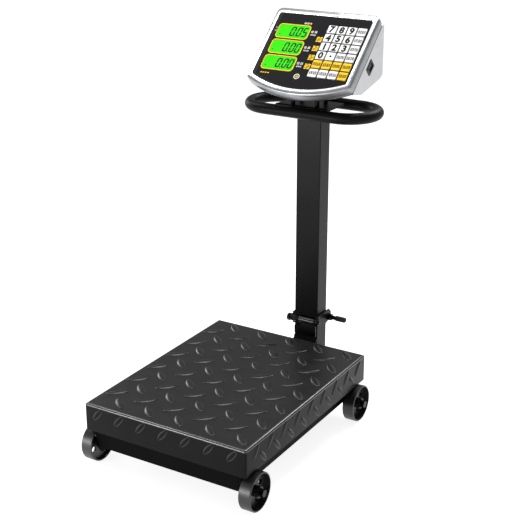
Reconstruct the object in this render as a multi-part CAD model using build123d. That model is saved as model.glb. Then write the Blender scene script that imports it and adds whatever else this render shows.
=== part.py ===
from build123d import *
import os
from math import cos, radians, sin

# Electronic platform scale on four wheels, with a folding column, a handle ring and a display head.
# Millimetres. X runs to the right, Y to the back, Z up. Z = 0 is the floor, and X = 0 is the plane of symmetry.

# Weighing deck
DECK_Y = -90.0          # middle of the deck
DECK_WIDTH = 400.0
DECK_LENGTH = 520.0
DECK_TOP = 148.0
SKIRT_HEIGHT = 62.0
PLATE = 2.5

# Base frame of rectangular tube
RAIL_WIDTH = 36.0
RAIL_HEIGHT = 50.0
RAIL_BOTTOM = 46.0
RAIL_WALL = 2.5
FRAME_HALF_WIDTH = 176.0
FRAME_HALF_LENGTH = 250.0
BEAM_WIDTH = 60.0
BEAM_HEIGHT = 40.0

# Live frame under the deck plate
DECK_TUBE_WIDTH = 30.0
DECK_TUBE_HEIGHT = 20.0
DECK_TUBE_X = 165.0
DECK_TUBE_LENGTH = 470.0

# Load cell
CELL_LENGTH = 150.0
CELL_WIDTH = 40.0
SPACER_HEIGHT = 4.0
CELL_BOLT_PITCH = 25.0
CELL_END_Y = 55.0       # middle of each clamped end, from the middle of the cell

# Wheels
WHEEL_RADIUS = 42.0
WHEEL_WIDTH = 27.0
WHEEL_OUTER_X = 211.0
WHEEL_Y = 224.0         # from the middle of the deck
AXLE_RADIUS = 5.0
RUNNING_GAP = 0.1
BRACKET_PLATE = 6.0
BOLT_HEAD = 10.0        # how far an axle bolt stands out of its wheel

# Column
COLUMN_X = 62.0
COLUMN_Y = 45.0
COLUMN_WALL = 2.5
COLUMN_FRONT = 250.0    # front face of the column
COLUMN_BACK = COLUMN_FRONT + COLUMN_Y
COLUMN_SPLIT = 148.0    # top of the lower post
COLUMN_TOP = 690.0
SPLIT_GAP = 1.0

# Folding hinge and clamp
HINGE_Y = COLUMN_FRONT - 12.0
HINGE_Z = 166.0
HINGE_PIN_RADIUS = 5.0
KNUCKLE_RADIUS = 8.0
MIDDLE_KNUCKLE = (-11.0, 29.0)
KNUCKLE_GAP = 0.8
COLLAR_TOP = 178.0
COLLAR_WALL = 4.0
CLAMP_Y = COLUMN_BACK + 9.0
CLAMP_Z = 157.0
CLAMP_RADIUS = 5.0
GRIP_FROM = 53.0
GRIP_TO = 81.0

# Handle ring
RING_Y = 270.0
RING_Z = 682.0
RING_HALF_LENGTH = 157.0
RING_HALF_DEPTH = 67.0
RING_TUBE_RADIUS = 13.0
RING_TUBE_WALL = 2.0
HANDLE_PLATE_X = 134.0
HANDLE_PLATE_THICK = 4.0

# Display head: its face is a plane that leans back from the vertical
HEAD_TILT = 47.0
HEAD_FACE_Y = 190.0     # lower corners of the face
HEAD_FACE_Z = 756.0
HEAD_HALF_WIDTH = 131.0
HEAD_FACE_HEIGHT = 200.0
HEAD_SAG = 34.0         # how far the curved lower edge drops below the corners
FRONT_SHELL_DEPTH = 26.0
SHELL_WALL = 3.0
HEAD_BACK = 356.0
HEAD_KEEL_Y = 250.0     # lowest line of the rear shell
HEAD_KEEL_Z = 729.0
HEAD_FLOOR_SLOPE = 0.2128
FOOT_X = 49.0
FOOT_Z = 722.0
POST_X = 31.0
POST_Y = (231.0, 272.0)

# Display windows and keys, on the face
LCD_X = -65.0
LCD_WIDTH = 80.0
LCD_HEIGHT = 37.0
LCD_LOW = 45.0          # middle of the lowest window
LCD_PITCH = 44.2
KEY_LEFT = 29.2         # middle of the first column
KEY_TOP = 149.0         # middle of the first row
KEY_PITCH_X = 24.6
KEY_PITCH_V = 24.2
KEY_WIDTH = 22.8
KEY_HEIGHT = 22.4
KEY_GAP = 0.2
KEY_PROUD = 0.8         # how far a key stands out of the panel, which is also its travel
KEY_FLANGE = 0.8
ROCKER_PIN_RADIUS = 1.2
ROCKER_ANGLE = 9.0      # to each side
PANEL_DEPTH = 1.0
PANEL_THICK = 2.0
KEY_BOARD_X = 66.0
KEY_BOARD_DEPTH = 5.5
MAIN_BOARD_DEPTH = 14.0
BOARD_THICK = 1.6

FACE = Plane(
    origin=(0, HEAD_FACE_Y, HEAD_FACE_Z),
    x_dir=(1, 0, 0),
    z_dir=(0, -cos(radians(HEAD_TILT)), sin(radians(HEAD_TILT))),
)

KEY_ROWS = (
    ("key_7", "key_8", "key_9", "key_zero"),
    ("key_4", "key_5", "key_6", "key_tare"),
    ("key_1", "key_2", "key_3", "key_clear"),
    ("key_0", "key_point", "key_hold", "key_backlight"),
    ("key_memory_1", "key_memory_2", "key_memory_3", "key_memory_4"),
    ("key_recall", "key_change", "key_add", "key_total"),
)


def block(x0, x1, y0, y1, z0, z1):
    """A box between two corners."""
    return Pos((x0 + x1) / 2, (y0 + y1) / 2, (z0 + z1) / 2) * Box(x1 - x0, y1 - y0, z1 - z0)


def rod_x(x0, x1, y, z, radius):
    """A round bar along X."""
    return Pos((x0 + x1) / 2, y, z) * Rot(0, 90, 0) * Cylinder(radius, x1 - x0)


def rod_z(x, y, z0, z1, radius):
    """An upright round bar."""
    return Pos(x, y, (z0 + z1) / 2) * Cylinder(radius, z1 - z0)


def hexagon_x(x0, x1, y, z, radius):
    """A hexagon bar along X, such as a bolt head. The radius is to its corners."""
    profile = Plane.YZ.offset(x0) * Pos(y, z) * RegularPolygon(radius, 6)
    return extrude(profile, x1 - x0)


def hexagon_z(x, y, z0, z1, radius):
    """An upright hexagon bar."""
    return extrude(Plane.XY.offset(z0) * Pos(x, y) * RegularPolygon(radius, 6), z1 - z0)


def side_plate(points, x0, x1):
    """A plate between two X planes, with an outline given as (y, z) points."""
    face = make_face(Polyline(*points, close=True))
    return extrude(Plane.YZ.offset(x0) * face, x1 - x0)


def tube_x(x0, x1, y0, y1, z0, z1, wall):
    """Rectangular tube along X."""
    return block(x0, x1, y0, y1, z0, z1) - block(x0, x1, y0 + wall, y1 - wall, z0 + wall, z1 - wall)


def tube_y(x0, x1, y0, y1, z0, z1, wall):
    """Rectangular tube along Y."""
    return block(x0, x1, y0, y1, z0, z1) - block(x0 + wall, x1 - wall, y0, y1, z0 + wall, z1 - wall)


def both_sides(solid):
    """A solid and its mirror image across X = 0."""
    return [solid, mirror(solid, Plane.YZ)]


# ---- weighing deck ----

def deck_cover():
    """Pressed plate tray that carries the load, with a skirt all round."""
    half_x, half_y = DECK_WIDTH / 2, DECK_LENGTH / 2
    low = DECK_TOP - SKIRT_HEIGHT
    tray = block(-half_x, half_x, DECK_Y - half_y, DECK_Y + half_y, low, DECK_TOP)
    tray = fillet(tray.edges().filter_by(Axis.Z), 2.5)
    tray = fillet(tray.edges().group_by(Axis.Z)[-1], 2)
    inside = block(
        -half_x + PLATE, half_x - PLATE,
        DECK_Y - half_y + PLATE, DECK_Y + half_y - PLATE,
        low, DECK_TOP - PLATE,
    )
    return tray - inside


def deck_frame():
    """Live frame: two long tubes and three cross tubes, the middle one over the load cell's live end."""
    top = DECK_TOP - PLATE
    bottom = top - DECK_TUBE_HEIGHT
    half = DECK_TUBE_LENGTH / 2
    inner = DECK_TUBE_X - DECK_TUBE_WIDTH / 2
    long_tube = tube_y(inner, inner + DECK_TUBE_WIDTH, DECK_Y - half, DECK_Y + half, bottom, top, 2)
    solids = both_sides(long_tube)
    for middle, width in ((-200, DECK_TUBE_WIDTH), (CELL_END_Y, BEAM_WIDTH - 10), (200, DECK_TUBE_WIDTH)):
        y = DECK_Y + middle
        solids.append(tube_x(-inner, inner, y - width / 2, y + width / 2, bottom, top, 2))
    return solids


def overload_stops():
    """Four stop screws that hang from the live frame just above the base rails, each with its lock nut."""
    bottom = DECK_TOP - PLATE - DECK_TUBE_HEIGHT
    gap = 2.0
    rail_top = RAIL_BOTTOM + RAIL_HEIGHT
    solids = []
    for x in (-DECK_TUBE_X, DECK_TUBE_X):
        for y in (DECK_Y - 150, DECK_Y + 150):
            screw = rod_z(x, y, rail_top + gap + 5, bottom, 4) + hexagon_z(x, y, rail_top + gap, rail_top + gap + 5, 7)
            solids.append(screw + hexagon_z(x, y, bottom - 6, bottom, 7.5))
    return solids


# ---- load cell ----

def cell_heights():
    """Bottom and top of the load cell."""
    bottom = RAIL_BOTTOM + BEAM_HEIGHT + SPACER_HEIGHT
    return bottom, DECK_TOP - PLATE - DECK_TUBE_HEIGHT - SPACER_HEIGHT


def cell_screw_places():
    """(x, y, which end) of the eight load cell screws: end -1 is fixed to the base, end +1 to the deck."""
    half = CELL_BOLT_PITCH / 2
    return [
        (x, DECK_Y + end * CELL_END_Y + y, end)
        for end in (-1, 1)
        for x in (-half, half)
        for y in (-half, half)
    ]


def load_cell():
    """Single-point aluminium load cell, with the twin-bore window that makes it bend."""
    bottom, top = cell_heights()
    half = CELL_LENGTH / 2
    middle = (bottom + top) / 2
    body = block(-CELL_WIDTH / 2, CELL_WIDTH / 2, DECK_Y - half, DECK_Y + half, bottom, top)
    for y in (DECK_Y - 18, DECK_Y + 18):
        body -= rod_x(-CELL_WIDTH, CELL_WIDTH, y, middle, 11)
    body -= block(-CELL_WIDTH, CELL_WIDTH, DECK_Y - 18, DECK_Y + 18, middle - 4, middle + 4)
    for x, y, end in cell_screw_places():
        body -= rod_z(x, y, bottom, top, 3.2)
    return fillet(body.edges().filter_by(Axis.Y).group_by(Axis.Z)[-1], 1)


def load_cell_spacers():
    """Steel pads that lift each clamped end clear: one on the base beam, one under the deck frame."""
    bottom, top = cell_heights()
    pads = []
    for end, z0 in ((-1, bottom - SPACER_HEIGHT), (1, top)):
        y = DECK_Y + end * CELL_END_Y
        pad = block(-CELL_WIDTH / 2, CELL_WIDTH / 2, y - 20, y + 20, z0, z0 + SPACER_HEIGHT)
        for x, hole_y, hole_end in cell_screw_places():
            if hole_end == end:
                pad -= rod_z(x, hole_y, z0, z0 + SPACER_HEIGHT, 3.2)
        pads.append(pad)
    return pads


def load_cell_screws():
    """Eight M6 screws: four rise from the base beam, four hang from the deck frame."""
    bottom, top = cell_heights()
    solids = []
    for x, y, end in cell_screw_places():
        if end < 0:
            solids.append(rod_z(x, y, bottom - SPACER_HEIGHT, top, 3) + hexagon_z(x, y, top, top + 4, 5.5))
        else:
            solids.append(rod_z(x, y, bottom, top + SPACER_HEIGHT, 3) + hexagon_z(x, y, bottom - 4, bottom, 5.5))
    return solids


# ---- base frame ----

def base_rails():
    """Welded base: front and rear rails across, and two side rails between them."""
    low, high = RAIL_BOTTOM, RAIL_BOTTOM + RAIL_HEIGHT
    wide, far = FRAME_HALF_WIDTH, FRAME_HALF_LENGTH
    solids = []
    for y0 in (DECK_Y - far, DECK_Y + far - RAIL_WIDTH):
        solids.append(tube_x(-wide, wide, y0, y0 + RAIL_WIDTH, low, high, RAIL_WALL))
    near = far - RAIL_WIDTH
    side = tube_y(wide - RAIL_WIDTH, wide, DECK_Y - near, DECK_Y + near, low, high, RAIL_WALL)
    return solids + both_sides(side)


def centre_beam():
    """Beam along the middle of the base that the load cell is bolted to."""
    near = FRAME_HALF_LENGTH - RAIL_WIDTH
    half = BEAM_WIDTH / 2
    return tube_y(-half, half, DECK_Y - near, DECK_Y + near, RAIL_BOTTOM, RAIL_BOTTOM + BEAM_HEIGHT, 3)


def wheel_places():
    """(name, side, y) of the four wheels."""
    return [
        (f"{end}_{side}", sign, DECK_Y + along * WHEEL_Y)
        for end, along in (("front", -1), ("rear", 1))
        for side, sign in (("left", -1), ("right", 1))
    ]


def axle_brackets():
    """Four plates welded to the frame's sides, which reach below it to the axles."""
    x0, x1 = FRAME_HALF_WIDTH, FRAME_HALF_WIDTH + BRACKET_PLATE
    high = RAIL_BOTTOM + RAIL_HEIGHT
    solids = []
    for name, side, y in wheel_places():
        outline = [
            (y - 26, high), (y - 26, RAIL_BOTTOM), (y - 13, WHEEL_RADIUS - 15),
            (y + 13, WHEEL_RADIUS - 15), (y + 26, RAIL_BOTTOM), (y + 26, high),
        ]
        plate = side_plate(outline, x0, x1) - rod_x(x0, x1, y, WHEEL_RADIUS, AXLE_RADIUS)
        solids.append(plate if side > 0 else mirror(plate, Plane.YZ))
    return solids


def axle_bolts():
    """Four shoulder bolts that the wheels turn on, each with a hexagon head and a spacing collar."""
    root = FRAME_HALF_WIDTH
    collar = root + BRACKET_PLATE
    inner = WHEEL_OUTER_X - WHEEL_WIDTH
    outer = WHEEL_OUTER_X
    solids = []
    for name, side, y in wheel_places():
        bolt = rod_x(root, outer + 2, y, WHEEL_RADIUS, AXLE_RADIUS)
        bolt += rod_x(collar, inner - 0.3, y, WHEEL_RADIUS, 9)
        bolt += rod_x(outer + 0.3, outer + 2, y, WHEEL_RADIUS, 10)
        bolt += hexagon_x(outer + 2, outer + BOLT_HEAD, y, WHEEL_RADIUS, 8.5)
        solids.append(bolt if side > 0 else mirror(bolt, Plane.YZ))
    return solids


def wheel(side, y):
    """Cast wheel: a rim, a thin web with four round windows, and a hub as long as the wheel is wide."""
    inner = WHEEL_OUTER_X - WHEEL_WIDTH
    outer = WHEEL_OUTER_X
    rim, hub = WHEEL_RADIUS - 3.2, 12.0
    web0, web1 = inner + 8, inner + 13
    bore = AXLE_RADIUS + RUNNING_GAP
    profile = Polyline(
        (inner, bore), (inner, hub), (web0, hub), (web0, rim), (inner, rim), (inner, WHEEL_RADIUS - 1.2),
        (inner + 1.2, WHEEL_RADIUS), (outer - 1.2, WHEEL_RADIUS), (outer, WHEEL_RADIUS - 1.2),
        (outer, rim), (web1, rim), (web1, hub), (outer, hub), (outer, bore),
        close=True,
    )
    body = revolve(make_face(profile), Axis.X)
    window_angle, window_radius, window_at = 24, 7.0, 25.0
    for quarter in range(4):
        angle = radians(window_angle + 90 * quarter)
        body -= rod_x(web0 - 1, web1 + 1, window_at * cos(angle), window_at * sin(angle), window_radius)
    if side < 0:
        body = mirror(body, Plane.YZ)
    return Pos(0, y, WHEEL_RADIUS) * body


# ---- column ----

def tail_bracket():
    """Two short tubes behind the base that hold the post between them, joined by a plate."""
    y0 = DECK_Y + FRAME_HALF_LENGTH
    half = COLUMN_X / 2
    top = RAIL_BOTTOM + 30
    beam = tube_y(half, half + 25, y0, COLUMN_BACK + 8, RAIL_BOTTOM, top, RAIL_WALL)
    plate = block(-half - 25, half + 25, y0, COLUMN_FRONT, top, top + 4)
    return both_sides(beam) + [plate]


def lower_post():
    """Fixed stub of the column."""
    half = COLUMN_X / 2
    low = RAIL_BOTTOM
    post = block(-half, half, COLUMN_FRONT, COLUMN_BACK, low, COLUMN_SPLIT)
    post = fillet(post.edges().filter_by(Axis.Z), 1.5)
    wall = COLUMN_WALL
    return post - block(-half + wall, half - wall, COLUMN_FRONT + wall, COLUMN_BACK - wall, low, COLUMN_SPLIT)


def post_gusset():
    """Sloping plate that braces the post against the tail plate."""
    foot = RAIL_BOTTOM + 34
    half = COLUMN_X / 2
    front = COLUMN_FRONT
    outline = [(front, 121), (front, 114), (front - 19, foot), (front - 24, foot)]
    return side_plate(outline, -half, half)


def lower_hinge_leaf():
    """Leaf on the post's front, with the middle knuckle that grips the pin."""
    front = COLUMN_FRONT
    thick = 5.0
    leaf = block(-29, 29, front - thick, front, 124, 144)
    left, right = MIDDLE_KNUCKLE
    neck = block(left, right, front - thick - 0.5, front - 0.5, 140, HINGE_Z)
    knuckle = rod_x(left, right, HINGE_Y, HINGE_Z, KNUCKLE_RADIUS)
    return leaf + neck + knuckle - rod_x(left, right, HINGE_Y, HINGE_Z, HINGE_PIN_RADIUS)


def hinge_pin():
    """Bolt that the column folds on, with its head at the left and its nut at the right."""
    end = COLUMN_X / 2 + COLLAR_WALL + 0.5
    pin = rod_x(-end, end + 9, HINGE_Y, HINGE_Z, HINGE_PIN_RADIUS)
    pin += hexagon_x(-end - 7, -end, HINGE_Y, HINGE_Z, 9)
    return pin + hexagon_x(end, end + 6, HINGE_Y, HINGE_Z, 9)


def clamp_tongue():
    """Saddle behind the post. The clamp screw drops into it when the column stands upright."""
    back = COLUMN_BACK
    floor = CLAMP_Z - CLAMP_RADIUS - 1
    outline = [
        (back, 139), (back, 147), (back + 3.5, 148), (back + 3.5, floor), (back + 15.4, floor),
        (back + 15.4, 161), (back + 19, 161), (back + 19, 146),
    ]
    return side_plate(outline, -29.6, 29.6)


def mast_tube():
    """Upper column, which folds forward over the deck."""
    half = COLUMN_X / 2
    low = COLUMN_SPLIT + SPLIT_GAP
    tube = block(-half, half, COLUMN_FRONT, COLUMN_BACK, low, COLUMN_TOP)
    tube = fillet(tube.edges().filter_by(Axis.Z), 1.5)
    wall = COLUMN_WALL
    return tube - block(-half + wall, half - wall, COLUMN_FRONT + wall, COLUMN_BACK - wall, low, COLUMN_TOP)


def mast_collar():
    """U-shaped collar round the foot of the mast, with two hinge knuckles in front and clamp ears behind."""
    half = COLUMN_X / 2
    front, rear = COLUMN_FRONT - COLLAR_WALL, CLAMP_Y + 9
    low = COLUMN_SPLIT + SPLIT_GAP
    outline = [(front, low), (rear, low), (rear, COLLAR_TOP - 9), (rear - 9, COLLAR_TOP), (front, COLLAR_TOP)]
    cheek = side_plate(outline, half, half + COLLAR_WALL)
    collar = cheek + mirror(cheek, Plane.YZ) + block(-half, half, front, COLUMN_FRONT, low, COLLAR_TOP)
    left, right = MIDDLE_KNUCKLE[0] - KNUCKLE_GAP, MIDDLE_KNUCKLE[1] + KNUCKLE_GAP
    collar -= block(left, right, front, COLUMN_FRONT, low, COLLAR_TOP - 5)
    for x0, x1 in ((-half - COLLAR_WALL, left), (right, half + COLLAR_WALL)):
        collar += rod_x(x0, x1, HINGE_Y, HINGE_Z, KNUCKLE_RADIUS)
        collar += block(x0, x1, HINGE_Y, front, HINGE_Z - KNUCKLE_RADIUS, HINGE_Z + KNUCKLE_RADIUS)
    collar -= rod_x(-60, 60, HINGE_Y, HINGE_Z, HINGE_PIN_RADIUS + RUNNING_GAP)
    return collar - rod_x(-60, 60, CLAMP_Y, CLAMP_Z, CLAMP_RADIUS + RUNNING_GAP)


def clamp_screw():
    """Threaded clamp rod with a hexagon head at the left and a flange at the right cheek."""
    cheek = COLUMN_X / 2 + COLLAR_WALL
    screw = rod_x(-cheek - 0.4, GRIP_FROM + 10, CLAMP_Y, CLAMP_Z, CLAMP_RADIUS)
    screw += hexagon_x(-cheek - 7, -cheek - 0.4, CLAMP_Y, CLAMP_Z, 9)
    screw += rod_x(cheek + 0.3, cheek + 3, CLAMP_Y, CLAMP_Z, 8.5)
    return screw + hexagon_x(cheek + 3, cheek + 8, CLAMP_Y, CLAMP_Z, 8)


def clamp_grip():
    """Moulded grip pushed on the end of the clamp rod."""
    grip = rod_x(GRIP_FROM, GRIP_TO, CLAMP_Y, CLAMP_Z, 6.6)
    grip = fillet(grip.edges().group_by(Axis.X)[-1], 5)
    grip = chamfer(grip.edges().group_by(Axis.X)[0], 1.4)
    return grip - rod_x(GRIP_FROM, GRIP_FROM + 10, CLAMP_Y, CLAMP_Z, CLAMP_RADIUS)


# ---- handle ----

def handle_ring():
    """Oblong hand rail of round tube, in two halves butt welded at the sides."""
    straight = RING_HALF_LENGTH - RING_HALF_DEPTH
    halves = []
    for side in (-1, 1):
        depth = side * RING_HALF_DEPTH
        left = CenterArc((-straight, 0), RING_HALF_DEPTH, 180, -side * 90)
        bar = Line((-straight, depth), (straight, depth))
        right = CenterArc((straight, 0), RING_HALF_DEPTH, side * 90, -side * 90)
        path = Wire([left.edge(), bar.edge(), right.edge()])
        start = Plane(origin=(-RING_HALF_LENGTH, 0, 0), x_dir=(1, 0, 0), z_dir=(0, side, 0))
        ring = Circle(RING_TUBE_RADIUS) - Circle(RING_TUBE_RADIUS - RING_TUBE_WALL)
        halves.append(Pos(0, RING_Y, RING_Z) * sweep(start * ring, path))
    return halves


def handle_plate():
    """Plate that ties the ring's front bar to the top of the mast and carries the head's posts."""
    half = HANDLE_PLATE_X / 2
    front = RING_Y - RING_HALF_DEPTH
    plate = block(-half, half, front, COLUMN_BACK, COLUMN_TOP, COLUMN_TOP + HANDLE_PLATE_THICK)
    return plate - rod_x(-half, half, front, RING_Z, RING_TUBE_RADIUS)


def head_posts():
    """Four stand-off posts under the head, each with the screw that holds the head's foot on it."""
    low = COLUMN_TOP + HANDLE_PLATE_THICK
    top = FOOT_Z + 3
    solids = []
    for x in (-POST_X, POST_X):
        for y in POST_Y:
            solids.append(rod_z(x, y, low, FOOT_Z, 5) - rod_z(x, y, FOOT_Z - 18, FOOT_Z, 3))
            solids.append(rod_z(x, y, FOOT_Z - 18, top, 3) + hexagon_z(x, y, top, top + 4, 5.5))
    return solids


def head_foot():
    """Channel under the head: a flat web on the posts, and two cheeks shaped to the rear shell's floor."""
    front, rear = HEAD_KEEL_Y - 35, HEAD_KEEL_Y + 35
    web = block(-FOOT_X, FOOT_X, front, rear, FOOT_Z, FOOT_Z + 3)
    outline = [
        (front, FOOT_Z), (rear, FOOT_Z), (rear, HEAD_KEEL_Z + 35 * HEAD_FLOOR_SLOPE),
        (HEAD_KEEL_Y, HEAD_KEEL_Z), (front, shell_front_floor(front)),
    ]
    cheek = side_plate(outline, FOOT_X - 3, FOOT_X)
    foot = web + cheek + mirror(cheek, Plane.YZ)
    for x in (-POST_X, POST_X):
        for y in POST_Y:
            foot -= rod_z(x, y, FOOT_Z, FOOT_Z + 3, 3)
    return foot


# ---- display head ----

def face_outline(half_width, low, high, sag, top_radius, low_radius):
    """Outline on the face: straight sides and top, and a lower edge that is one shallow arc."""
    left = Line((-half_width, low), (-half_width, high))
    top = Line((-half_width, high), (half_width, high))
    right = Line((half_width, high), (half_width, low))
    arc = ThreePointArc((half_width, low), (0, low - sag), (-half_width, low))
    face = make_face([left, top, right, arc])
    ordered = face.vertices().sort_by(Axis.Y)
    face = fillet(ordered[2:], top_radius)
    return fillet(face.vertices().sort_by_distance((-half_width, low))[:1]
                  + face.vertices().sort_by_distance((half_width, low))[:1], low_radius)


def on_face(profile, depth0, depth1):
    """Extrudes a profile of the face from one depth behind it to another."""
    return FACE * extrude(Pos(0, 0, -depth0) * profile, -(depth1 - depth0))


def panel_outline():
    """The opening of the front shell, which the fascia panel fills."""
    return face_outline(119, 9, 184, 28, 8, 5)


def front_shell():
    """Front shell: a rim round the panel and the deep sides behind it."""
    wall = SHELL_WALL
    shell = on_face(face_outline(HEAD_HALF_WIDTH, 0, HEAD_FACE_HEIGHT, HEAD_SAG, 14, 9), 0, FRONT_SHELL_DEPTH)
    shell -= on_face(panel_outline(), 0, wall)
    inside = face_outline(HEAD_HALF_WIDTH - wall, wall, HEAD_FACE_HEIGHT - wall, HEAD_SAG - 1, 11, 6)
    shell -= on_face(inside, wall, FRONT_SHELL_DEPTH - wall)
    inner_x = HEAD_HALF_WIDTH - wall
    back_opening = Pos(0, HEAD_FACE_HEIGHT / 2) * Rectangle(2 * inner_x, HEAD_FACE_HEIGHT - 2 * wall)
    return shell - on_face(back_opening, FRONT_SHELL_DEPTH - wall, FRONT_SHELL_DEPTH)


def face_point(v, depth):
    """(y, z) of a point v up the face and depth behind it."""
    c, s = cos(radians(HEAD_TILT)), sin(radians(HEAD_TILT))
    return HEAD_FACE_Y + v * s + depth * c, HEAD_FACE_Z + v * c - depth * s


def shell_front_floor(y):
    """Height of the rear shell's floor in front of the keel line."""
    low_y, low_z = face_point(0, FRONT_SHELL_DEPTH)
    return HEAD_KEEL_Z + (low_z - HEAD_KEEL_Z) * (HEAD_KEEL_Y - y) / (HEAD_KEEL_Y - low_y)


def rear_outline(inset):
    """Side view of the rear shell, or of its inside when inset."""
    low = face_point(inset, FRONT_SHELL_DEPTH)
    high = face_point(HEAD_FACE_HEIGHT - inset - 3, FRONT_SHELL_DEPTH)
    back = HEAD_BACK - inset
    heel_y = HEAD_BACK - 12
    heel_z = HEAD_KEEL_Z + (heel_y - HEAD_KEEL_Y) * HEAD_FLOOR_SLOPE
    return [
        low, high, (back, high[1] - 2), (back, heel_z + 8 + inset * 0.6),
        (heel_y - inset, heel_z + inset), (HEAD_KEEL_Y, HEAD_KEEL_Z + inset),
    ]


def switch_middle():
    """(y, z) of the power switch on the head's right side."""
    return 291.0, 783.0


def switch_block(length, width, x0, x1):
    """A block on the head's side, turned in line with the face. Length is along the face."""
    y, z = switch_middle()
    return Pos((x0 + x1) / 2, y, z) * Rot(90 - HEAD_TILT, 0, 0) * Box(x1 - x0, length, width)


def rear_shell():
    """Rear shell: a wedge open to the front, with a floor that rests on the head's foot."""
    half = HEAD_HALF_WIDTH - 0.6
    shell = side_plate(rear_outline(0), -half, half)
    shell = fillet(shell.edges().filter_by(Axis.X).sort_by(Axis.Y)[-2:], 5)
    shell -= side_plate(rear_outline(SHELL_WALL), -half + SHELL_WALL, half - SHELL_WALL)
    cut0, cut1 = half - SHELL_WALL - 1, half + 1
    return shell - switch_block(25, 18, cut0, cut1)


def key_place(row, column):
    """Middle of a key on the face."""
    return KEY_LEFT + column * KEY_PITCH_X, KEY_TOP - row * KEY_PITCH_V


def lcd_places():
    """Middles of the three display windows on the face, lowest first."""
    return [(LCD_X, LCD_LOW + n * LCD_PITCH) for n in range(3)]


def fascia_panel():
    """Panel that fills the front shell's opening, cut out for the windows and the keys."""
    sheet = panel_outline()
    for x, v in lcd_places():
        sheet -= Pos(x, v) * RectangleRounded(LCD_WIDTH, LCD_HEIGHT, 7)
    for row in range(len(KEY_ROWS)):
        for column in range(len(KEY_ROWS[row])):
            x, v = key_place(row, column)
            sheet -= Pos(x, v) * RectangleRounded(KEY_WIDTH + 2 * KEY_GAP, KEY_HEIGHT + 2 * KEY_GAP, 1.2)
    behind = PANEL_DEPTH + PANEL_THICK
    panel = on_face(sheet, PANEL_DEPTH, behind)
    for x in (KEY_BOARD_X - 51.2, KEY_BOARD_X + 51.2):
        for v in (25, 153):
            panel += on_face(Pos(x, v) * Circle(1), behind, KEY_BOARD_DEPTH)
    for x, radius in ((-109, 1.5), (0, 3)):
        for v in (40, 150):
            panel += on_face(Pos(x, v) * Circle(radius), behind, MAIN_BOARD_DEPTH)
    return panel


def key_cap(row, column):
    """One key, a little proud of the panel, with a flange behind the panel that keeps it in."""
    x, v = key_place(row, column)
    behind = PANEL_DEPTH + PANEL_THICK
    cap = on_face(Pos(x, v) * RectangleRounded(KEY_WIDTH, KEY_HEIGHT, 1), PANEL_DEPTH - KEY_PROUD, behind)
    flange = RectangleRounded(KEY_WIDTH + 1, KEY_HEIGHT + 1, 1.5)
    return cap + on_face(Pos(x, v) * flange, behind, behind + KEY_FLANGE)


def lcd_modules():
    """Three backlit display modules behind the windows."""
    behind = PANEL_DEPTH + PANEL_THICK
    return [
        on_face(Pos(x, v) * Rectangle(LCD_WIDTH + 4, LCD_HEIGHT + 4), behind, behind + 6)
        for x, v in lcd_places()
    ]


def circuit_boards():
    """Key board with a dome under each key, and the main board behind it."""
    board = KEY_BOARD_DEPTH
    key_board = on_face(Pos(KEY_BOARD_X, 89) * Rectangle(106, 150), board, board + BOARD_THICK)
    for row in range(len(KEY_ROWS)):
        for column in range(len(KEY_ROWS[row])):
            key_board += on_face(Pos(*key_place(row, column)) * Circle(3), board - 0.8, board)
    board = MAIN_BOARD_DEPTH
    main_board = on_face(Pos(0, 95) * Rectangle(220, 130), board, board + BOARD_THICK)
    for x, v in ((-60, 70), (-60, 120), (40, 95)):
        main_board += on_face(Pos(x, v) * Rectangle(20, 20), board + BOARD_THICK, board + 4)
    return [key_board, main_board]


def battery():
    """Sealed rechargeable battery standing on the floor of the rear shell."""
    low, high = 755.5, 810.5
    case = block(-100, 0, 300, 347, low, high)
    for x in (-85, -15):
        case += block(x - 3, x + 3, 330, 336, high, high + 6)
    return case


def at_switch_pivot(solid):
    """Places a solid at the rocker's pivot, with its own Z along the pivot and its own X out of the head."""
    y, z = switch_middle()
    return Pos(HEAD_HALF_WIDTH - 2.6, y, z) * Rot(90 - HEAD_TILT, 0, 0) * solid


def switch_bezel():
    """Frame of the rocker switch, snapped into the head's side."""
    wall = HEAD_HALF_WIDTH - 0.6
    frame = switch_block(30, 22, wall, wall + 1.6) + switch_block(25, 18, wall - 14, wall)
    frame -= switch_block(21.4, 14.4, wall - 12, wall + 2)
    return frame - at_switch_pivot(Cylinder(ROCKER_PIN_RADIUS + 0.05, 18))


def power_rocker():
    """Rocker, shown pressed at its upper end, with the pins that it turns on."""
    arm, width = 10.0, 13.6
    outline = Polyline((-arm, -3), (-arm, 2.6), (0, 0.4), (arm, 2.6), (arm, -3), close=True)
    body = Pos(0, 0, -width / 2) * extrude(make_face(outline), width)
    body += Cylinder(ROCKER_PIN_RADIUS, width + 3)
    return at_switch_pivot(Rot(0, 0, ROCKER_ANGLE - 90) * body)


def write(name, solids):
    """Writes one sub-part."""
    shape = Compound(children=[s for s in solids]) if isinstance(solids, list) else solids
    export_step(shape, f"parts/{name}.step")


def main():
    os.makedirs("parts", exist_ok=True)
    makers = (
        deck_cover, deck_frame, overload_stops, load_cell, load_cell_spacers, load_cell_screws,
        base_rails, centre_beam, axle_brackets, axle_bolts,
        tail_bracket, lower_post, post_gusset, lower_hinge_leaf, hinge_pin, clamp_tongue,
        mast_tube, mast_collar, clamp_screw, clamp_grip,
        handle_ring, handle_plate, head_posts, head_foot,
        front_shell, rear_shell, fascia_panel, lcd_modules, circuit_boards, battery, switch_bezel, power_rocker,
    )
    for maker in makers:
        write(maker.__name__, maker())
    for name, side, y in wheel_places():
        write(f"wheel_{name}", wheel(side, y))
    for row, names in enumerate(KEY_ROWS):
        for column, name in enumerate(names):
            write(name, key_cap(row, column))


main()
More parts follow.
